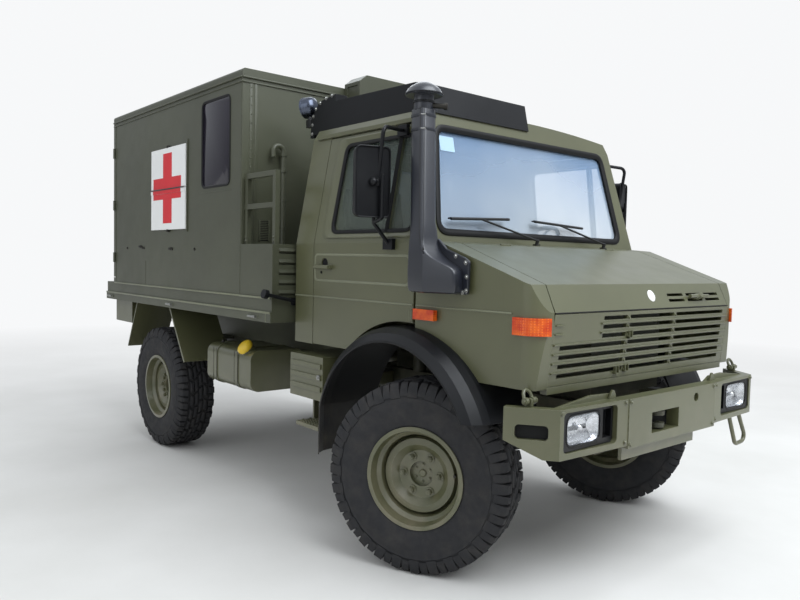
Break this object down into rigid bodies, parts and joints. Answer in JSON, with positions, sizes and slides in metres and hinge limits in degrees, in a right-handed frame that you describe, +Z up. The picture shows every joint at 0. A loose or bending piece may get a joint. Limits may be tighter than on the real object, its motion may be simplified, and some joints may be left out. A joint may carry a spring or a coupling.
{
  "type": "military ambulance truck",
  "caption": "Light four-wheel-drive ambulance truck: bonneted cab with opening doors, steered front wheels and a box body with rear doors and a cross panel on each side.",
  "frame": {"origin": "centre of the bounding box, on the floor between the wheels", "axes": "+X forward along the vehicle, +Y to its left, +Z up"},
  "size_m": [5.3748, 2.5206, 3.01],
  "materials": {
    "amber": "amber lamp plastic",
    "black_paint": "matt black paint",
    "black_plastic": "satin black moulded plastic",
    "box_paint": "satin grey-olive paint",
    "chassis_paint": "dark olive chassis paint",
    "glass": "clear laminated glass",
    "lamp_glass": "clear lamp glass",
    "olive_paint": "satin olive green paint",
    "seat_vinyl": "dark seat cloth",
    "tyre": "worn black tyre rubber",
    "white_paint": "white panel with a red cross"
  },
  "bodies": {
    "chassis": {"box_front_wall": "box_paint", "box_rear_frame": "box_paint", "box_roof": "box_paint", "box_sides": "box_paint", "bumper": "olive_paint", "cab_back": "olive_paint", "cab_floor": "olive_paint", "cab_interior": "seat_vinyl", "cab_roof": "olive_paint", "cab_steps": "olive_paint", "clear_lamps": "lamp_glass", "cross_panels": "white_paint", "fixed_glass": "glass", "frame_crossmembers": "chassis_paint", "frame_rails": "chassis_paint", "front_axle": "chassis_paint", "front_body": "olive_paint", "front_lockers": "box_paint", "front_wings": "black_plastic", "fuel_tank": "olive_paint", "grille": "olive_paint", "guard_rails": "box_paint", "lamp_mounts": "black_plastic", "platform": "box_paint", "powertrain": "chassis_paint", "rear_axle": "chassis_paint", "rear_wings": "olive_paint", "roof_shroud": "black_plastic", "roof_unit": "box_paint", "screen_frame": "olive_paint", "side_boxes": "olive_paint", "signal_lamps": "amber", "snorkel": "black_plastic", "springs": "chassis_paint", "towing_jaws": "chassis_paint", "wipers": "black_paint"},
    "knuckle_right": {"knuckle_right": "olive_paint"},
    "knuckle_left": {"knuckle_left": "olive_paint"},
    "track_rod": {"tie_rod": "chassis_paint"},
    "wheel_front_right": {"wheel_front_right": "olive_paint", "tyre_front_right": "tyre"},
    "wheel_front_left": {"wheel_front_left": "olive_paint", "tyre_front_left": "tyre"},
    "wheel_rear_right": {"wheel_rear_right": "olive_paint", "tyre_rear_right": "tyre"},
    "wheel_rear_left": {"wheel_rear_left": "olive_paint", "tyre_rear_left": "tyre"},
    "bonnet": {"bonnet": "olive_paint"},
    "door_right": {"door_right": "olive_paint", "door_glass_right": "glass", "mirror_right": "black_plastic"},
    "door_left": {"door_left": "olive_paint", "door_glass_left": "glass", "mirror_left": "black_plastic"},
    "box_door_right": {"box_door_right": "box_paint"},
    "box_door_left": {"box_door_left": "box_paint"},
    "cross_flap_right": {"cross_flap_right": "white_paint"},
    "cross_flap_left": {"cross_flap_left": "white_paint"}
  },
  "joints": [
    {"name": "steer_right", "type": "hinge", "parent": "chassis", "child": "knuckle_right", "pos_m": [1.7325, -0.85, 0.512], "axis": [0, 0, 1], "range_deg": [-58, 8]},
    {"name": "steer_left", "type": "hinge", "parent": "chassis", "child": "knuckle_left", "pos_m": [1.7325, 0.85, 0.512], "axis": [0, 0, 1], "range_deg": [-58, 8]},
    {"name": "track_rod_end", "type": "hinge", "parent": "knuckle_right", "child": "track_rod", "pos_m": [1.50959, -0.82154, 0.455], "axis": [0, 0, 1], "range_deg": [-17, 75]},
    {"name": "spin_front_right", "type": "hinge", "parent": "knuckle_right", "child": "wheel_front_right", "pos_m": [1.76631, -0.92251, 0.512], "axis": [-0.4226, 0.9063, 0], "continuous": true},
    {"name": "spin_front_left", "type": "hinge", "parent": "knuckle_left", "child": "wheel_front_left", "pos_m": [1.69869, 0.92251, 0.512], "axis": [-0.4226, 0.9063, 0], "continuous": true},
    {"name": "spin_rear_right", "type": "hinge", "parent": "chassis", "child": "wheel_rear_right", "pos_m": [-1.5175, -0.93, 0.512], "axis": [0, 1, 0], "continuous": true},
    {"name": "spin_rear_left", "type": "hinge", "parent": "chassis", "child": "wheel_rear_left", "pos_m": [-1.5175, 0.93, 0.512], "axis": [0, 1, 0], "continuous": true},
    {"name": "bonnet_hinge", "type": "hinge", "parent": "chassis", "child": "bonnet", "pos_m": [1.9235, 0, 1.747], "axis": [0, -1, 0], "range_deg": [0, 50]},
    {"name": "door_right_hinge", "type": "hinge", "parent": "chassis", "child": "door_right", "pos_m": [1.7225, -1, 1.6], "axis": [0, 0, 1], "range_deg": [0, 70]},
    {"name": "door_left_hinge", "type": "hinge", "parent": "chassis", "child": "door_left", "pos_m": [1.7225, 1, 1.6], "axis": [0, 0, -1], "range_deg": [0, 70]},
    {"name": "box_door_right_hinge", "type": "hinge", "parent": "chassis", "child": "box_door_right", "pos_m": [-2.3605, -1.161, 2.1], "axis": [0, 0, 1], "range_deg": [0, 175]},
    {"name": "box_door_left_hinge", "type": "hinge", "parent": "chassis", "child": "box_door_left", "pos_m": [-2.3605, 1.161, 2.1], "axis": [0, 0, -1], "range_deg": [0, 175]},
    {"name": "cross_flap_right_hinge", "type": "hinge", "parent": "chassis", "child": "cross_flap_right", "pos_m": [-1.1075, -1.1733, 2.185], "axis": [-1, 0, 0], "range_deg": [0, 175]},
    {"name": "cross_flap_left_hinge", "type": "hinge", "parent": "chassis", "child": "cross_flap_left", "pos_m": [-1.1075, 1.1733, 2.185], "axis": [1, 0, 0], "range_deg": [0, 175]}
  ],
  "couplings": [
    {"joint": "steer_left", "follows": "steer_right", "ratio": 1},
    {"joint": "track_rod_end", "follows": "steer_right", "ratio": -1.1644}
  ]
}
